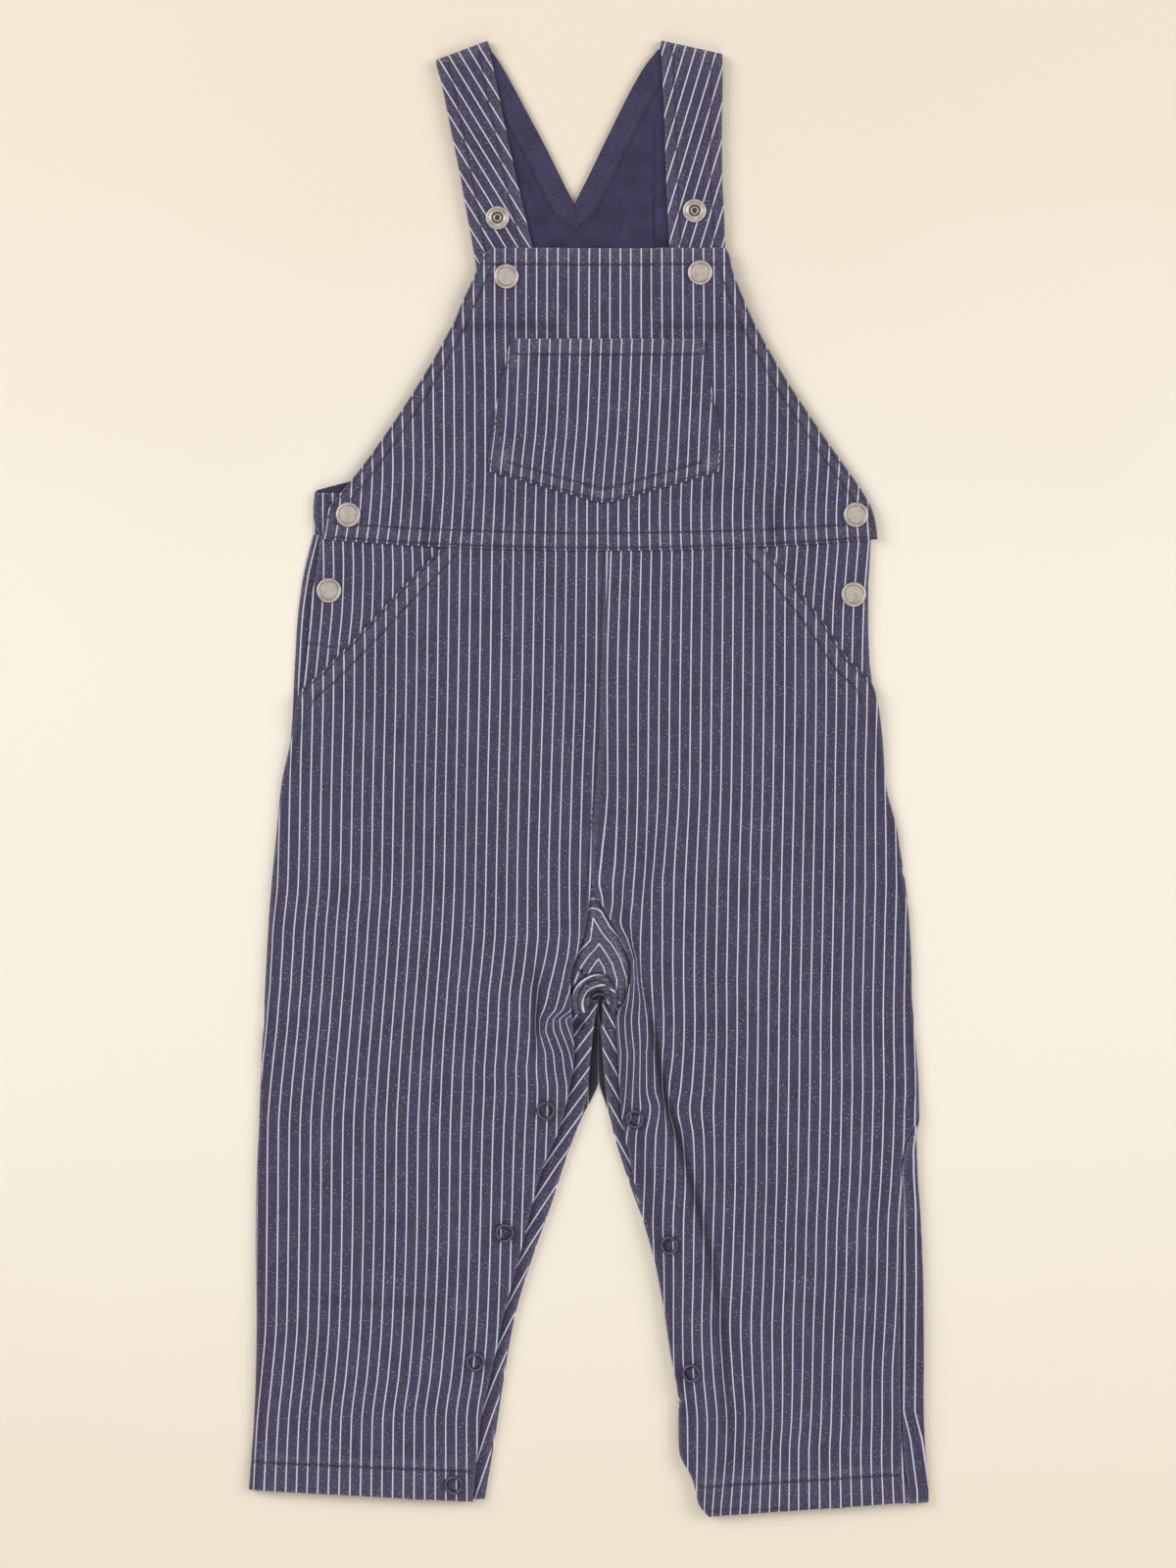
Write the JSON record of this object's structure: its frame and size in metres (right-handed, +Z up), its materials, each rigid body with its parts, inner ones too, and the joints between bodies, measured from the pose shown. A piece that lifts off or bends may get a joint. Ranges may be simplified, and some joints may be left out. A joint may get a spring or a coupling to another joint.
{
  "type": "child's dungarees",
  "caption": "Navy pinstripe dungarees laid flat front up, with bib pocket, slant hip pockets, folded straps and snap fastenings at bib, hips and inside legs.",
  "frame": {"origin": "on the surface that the back panels lie on, in the middle of the outline", "axes": "+Y from the hems towards the shoulders, +X to the right as seen from above with the front up, +Z up out of the front"},
  "size_m": [0.3122, 0.6767, 0.0089],
  "materials": {
    "striped_cloth": "matte cotton twill with pale pinstripes",
    "lining_cloth": "matte plain weave",
    "silver_metal": "satin",
    "navy_metal": "satin"
  },
  "bodies": {
    "root": {"back_leg_l": "striped_cloth", "back_leg_r": "striped_cloth", "back_bib_l": "striped_cloth", "back_bib_r": "striped_cloth", "lining_l": "lining_cloth", "lining_r": "lining_cloth", "hip_facing_l": "striped_cloth", "hip_facing_r": "striped_cloth", "gusset": "striped_cloth", "placket_l": "striped_cloth", "placket_r": "striped_cloth", "front_leg_l": "striped_cloth", "front_leg_r": "striped_cloth", "front_bib": "striped_cloth", "bib_pocket": "striped_cloth", "cap_bib_l": "silver_metal", "cap_bib_r": "silver_metal", "cap_side_l": "silver_metal", "cap_side_r": "silver_metal", "cap_hip_l": "silver_metal", "cap_hip_r": "silver_metal", "socket_strap_l": "silver_metal", "socket_strap_r": "silver_metal", "ring_leg_l1": "navy_metal", "ring_leg_l2": "navy_metal", "ring_leg_l3": "navy_metal", "ring_leg_l4": "navy_metal", "ring_leg_r1": "navy_metal", "ring_leg_r2": "navy_metal", "ring_leg_r3": "navy_metal"}
  },
  "joints": []
}
